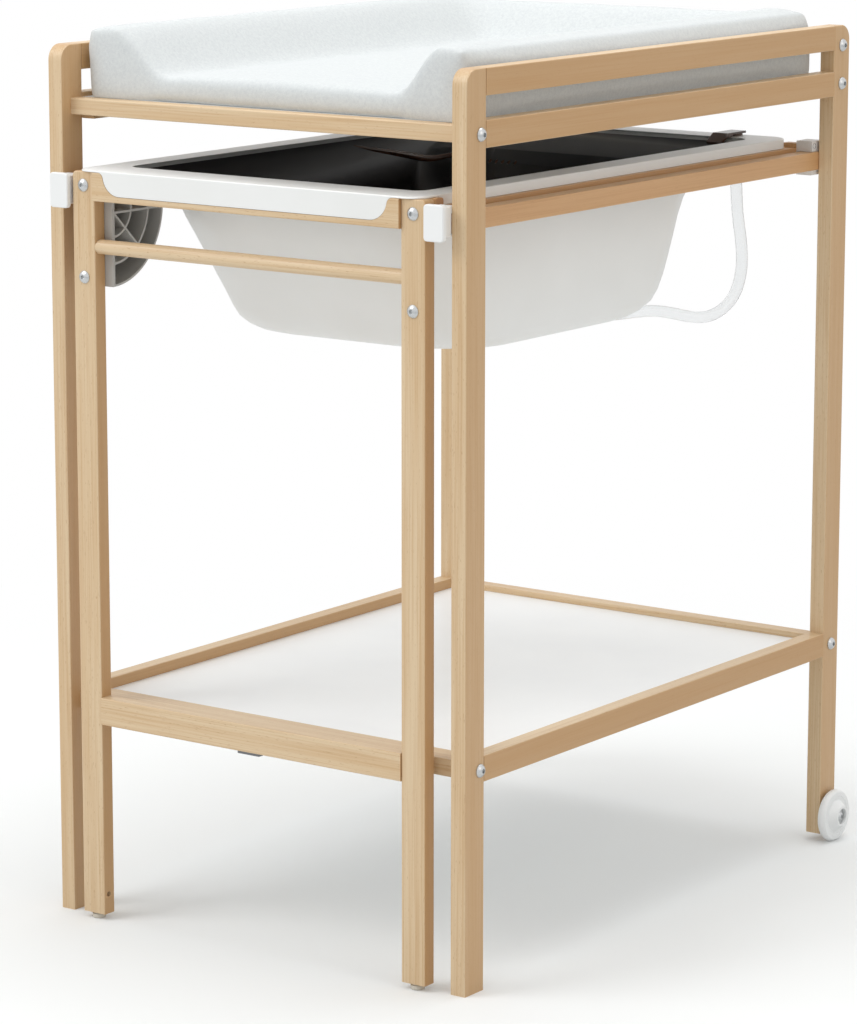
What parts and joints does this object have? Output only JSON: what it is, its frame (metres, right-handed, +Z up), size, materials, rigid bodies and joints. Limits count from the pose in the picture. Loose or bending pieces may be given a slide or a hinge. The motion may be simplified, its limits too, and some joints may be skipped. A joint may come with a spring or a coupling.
{
  "type": "changing table with bathtub",
  "caption": "Beech changing table with a raised-edge mat, a lower shelf and a pull-out baby bath on its own front legs, with a drain hose and two rear wheels.",
  "frame": {"origin": "on the floor below the middle of the table's box, drain hose left out", "axes": "+Z up, -Y to the front where the bath pulls out, +X right as seen from the front"},
  "size_m": [0.598, 0.7993, 0.9883],
  "materials": {
    "beech": "varnished beech, satin",
    "beech_hidden": "bare beech",
    "shelf_board": "white coated board, satin",
    "mat_board": "coated hardboard, matt",
    "bath_white": "moulded polypropylene, satin gloss",
    "bath_dark": "dark polypropylene, glossy",
    "white_nylon": "moulded nylon, satin",
    "wheel_white": "moulded nylon, satin",
    "grey_plastic": "moulded glass-filled nylon, matt",
    "brown_plastic": "moulded plastic, satin",
    "hose_clear": "translucent soft tube",
    "fastener_steel": "bright zinc plated",
    "hidden_steel": "zinc plated",
    "mat_cover": "light grey melange jersey"
  },
  "bodies": {
    "frame": {"post_front_left": "beech", "post_front_right": "beech", "post_rear_left": "beech", "post_rear_right": "beech", "side_rail_upper_left": "beech", "side_rail_upper_right": "beech", "side_rail_lower_left": "beech", "side_rail_lower_right": "beech", "shelf_side_rail_left": "beech", "shelf_side_rail_right": "beech", "mat_front_rail": "beech", "rear_rail_upper": "beech", "rear_rail_lower": "beech", "shelf_front_rail": "beech", "shelf_rear_rail": "beech", "guide_rail_left": "beech", "guide_rail_right": "beech", "mat_ledge_left": "beech_hidden", "mat_ledge_right": "beech_hidden", "side_frame_dowels": "beech_hidden", "shelf_panel": "shelf_board", "mat_base_panel": "mat_board", "guide_cap_left": "white_nylon", "guide_cap_right": "white_nylon", "frame_bolts": "fastener_steel", "wheel_washers": "fastener_steel", "wheel_axles": "fastener_steel", "barrel_nuts": "hidden_steel", "guide_screws": "hidden_steel"},
    "bath_drawer": {"leg_left": "beech", "leg_right": "beech", "leg_glides": "white_nylon", "leg_screws": "fastener_steel", "drawer_rail_left": "beech", "drawer_rail_right": "beech", "drawer_apron": "beech", "drawer_rear_rail": "beech", "towel_rod": "beech", "leg_stretcher": "beech", "catch_plate": "hidden_steel", "slider_left": "brown_plastic", "slider_right": "brown_plastic", "slider_screws": "hidden_steel", "ribbed_bracket": "grey_plastic"},
    "bath": {"tub_shell": "bath_white", "tub_liner": "bath_dark", "drain_fitting": "white_nylon", "drain_nut": "white_nylon", "drain_hose": "hose_clear", "hose_clip": "brown_plastic"},
    "mat": {"changing_mat": "mat_cover"},
    "left_wheel": {"wheel_left": "wheel_white"},
    "right_wheel": {"wheel_right": "wheel_white"}
  },
  "joints": [
    {"name": "drawer_slide", "type": "slide", "parent": "frame", "child": "bath_drawer", "axis": [0, -1, 0], "range_m": [0, 0.7]},
    {"name": "bath_lift", "type": "slide", "parent": "bath_drawer", "child": "bath", "axis": [0, 0, 1], "range_m": [0, 0.04]},
    {"name": "mat_lift", "type": "slide", "parent": "frame", "child": "mat", "axis": [0, 0, 1], "range_m": [0, 0.2]},
    {"name": "left_wheel_spin", "type": "hinge", "parent": "frame", "child": "left_wheel", "pos_m": [-0.2865, 0.36865, 0.031], "axis": [1, 0, 0], "continuous": true},
    {"name": "right_wheel_spin", "type": "hinge", "parent": "frame", "child": "right_wheel", "pos_m": [0.2865, 0.36865, 0.031], "axis": [1, 0, 0], "continuous": true}
  ]
}
